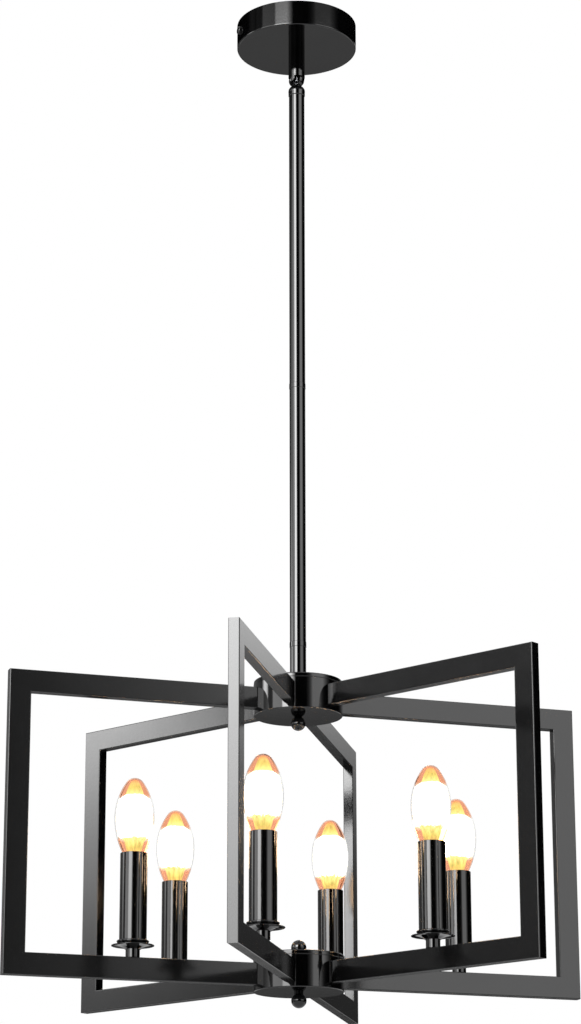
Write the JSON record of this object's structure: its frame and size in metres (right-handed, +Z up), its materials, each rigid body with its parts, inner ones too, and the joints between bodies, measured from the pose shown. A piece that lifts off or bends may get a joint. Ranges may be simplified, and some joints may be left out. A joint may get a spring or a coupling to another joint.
{
  "type": "radial candle chandelier on a downrod",
  "caption": "Open geometric chandelier in gloss black: C-shaped frames radiate from two round hubs on a swivelling downrod, each with a lit candle lamp on its lower bar.",
  "frame": {"origin": "centre of the canopy in the ceiling plane", "axes": "+Z up into the ceiling, +X along the ceiling strip, through both canopy screws and the frame named right; -Z down the rod"},
  "size_m": [0.56, 0.4894, 0.989],
  "materials": {
    "gloss_black": "gloss black paint",
    "frame_black": "gloss black paint",
    "sleeve_black": "gloss black",
    "socket_body": "matte black",
    "bulb_glass": "clear",
    "bulb_base_metal": "bright plated",
    "light_strips": "lit, warm white",
    "zinc_steel": "zinc plated",
    "pin_steel": "dark oxide",
    "brass_hardware": "plain",
    "ground_green": "green paint"
  },
  "bodies": {
    "ceiling_mount": {"ceiling_crossbar": "zinc_steel", "ground_screw": "ground_green", "canopy_cover": "gloss_black", "canopy_side_screws": "gloss_black", "canopy_nipple": "zinc_steel", "canopy_lock_nut": "zinc_steel", "swivel_upper_fork": "gloss_black", "swivel_upper_pins": "pin_steel"},
    "swivel_gimbal": {"swivel_gimbal_ring": "zinc_steel"},
    "hanging_fixture": {"swivel_lower_pins": "pin_steel", "swivel_lower_fork": "gloss_black", "rod_nipples": "zinc_steel", "downrod_upper": "gloss_black", "downrod_lower": "gloss_black", "downrod_stub": "gloss_black", "top_hub_nipple": "zinc_steel", "top_hub_lid": "gloss_black", "top_hub_drum": "gloss_black", "top_hub_lock_nut": "zinc_steel", "top_hub_hickey": "zinc_steel", "top_hub_finial": "gloss_black", "bottom_hub_lid": "gloss_black", "bottom_hub_drum": "gloss_black", "bottom_hub_stud": "zinc_steel", "bottom_hub_finials": "gloss_black", "arm_screws": "zinc_steel", "candle_stems": "gloss_black", "candle_lock_nuts": "brass_hardware", "bobeches": "gloss_black", "lamp_sockets": "socket_body", "frame_right": "frame_black", "frame_back_right": "frame_black", "frame_back_left": "frame_black", "frame_left": "frame_black", "frame_front_left": "frame_black", "frame_front_right": "frame_black", "candle_sleeve_right": "sleeve_black", "candle_sleeve_back_right": "sleeve_black", "candle_sleeve_back_left": "sleeve_black", "candle_sleeve_left": "sleeve_black", "candle_sleeve_front_left": "sleeve_black", "candle_sleeve_front_right": "sleeve_black"},
    "bulb_right": {"bulb_glass_right": "bulb_glass", "bulb_base_right": "bulb_base_metal", "bulb_filament_right": "light_strips"},
    "bulb_back_right": {"bulb_glass_back_right": "bulb_glass", "bulb_base_back_right": "bulb_base_metal", "bulb_filament_back_right": "light_strips"},
    "bulb_back_left": {"bulb_glass_back_left": "bulb_glass", "bulb_base_back_left": "bulb_base_metal", "bulb_filament_back_left": "light_strips"},
    "bulb_left": {"bulb_glass_left": "bulb_glass", "bulb_base_left": "bulb_base_metal", "bulb_filament_left": "light_strips"},
    "bulb_front_left": {"bulb_glass_front_left": "bulb_glass", "bulb_base_front_left": "bulb_base_metal", "bulb_filament_front_left": "light_strips"},
    "bulb_front_right": {"bulb_glass_front_right": "bulb_glass", "bulb_base_front_right": "bulb_base_metal", "bulb_filament_front_right": "light_strips"}
  },
  "joints": [
    {"name": "swivel_upper_hinge", "type": "hinge", "parent": "ceiling_mount", "child": "swivel_gimbal", "pos_m": [0, 0, -0.0585], "axis": [0.866, 0.5, 0], "range_deg": [-30, 30]},
    {"name": "swivel_lower_hinge", "type": "hinge", "parent": "swivel_gimbal", "child": "hanging_fixture", "pos_m": [0, 0, -0.0585], "axis": [-0.5, 0.866, 0], "range_deg": [-30, 30]},
    {"name": "unscrew_bulb_right", "type": "slide", "parent": "hanging_fixture", "child": "bulb_right", "axis": [0, 0, 1], "range_m": [0, 0.045]},
    {"name": "unscrew_bulb_back_right", "type": "slide", "parent": "hanging_fixture", "child": "bulb_back_right", "axis": [0, 0, 1], "range_m": [0, 0.045]},
    {"name": "unscrew_bulb_back_left", "type": "slide", "parent": "hanging_fixture", "child": "bulb_back_left", "axis": [0, 0, 1], "range_m": [0, 0.045]},
    {"name": "unscrew_bulb_left", "type": "slide", "parent": "hanging_fixture", "child": "bulb_left", "axis": [0, 0, 1], "range_m": [0, 0.045]},
    {"name": "unscrew_bulb_front_left", "type": "slide", "parent": "hanging_fixture", "child": "bulb_front_left", "axis": [0, 0, 1], "range_m": [0, 0.045]},
    {"name": "unscrew_bulb_front_right", "type": "slide", "parent": "hanging_fixture", "child": "bulb_front_right", "axis": [0, 0, 1], "range_m": [0, 0.045]}
  ]
}
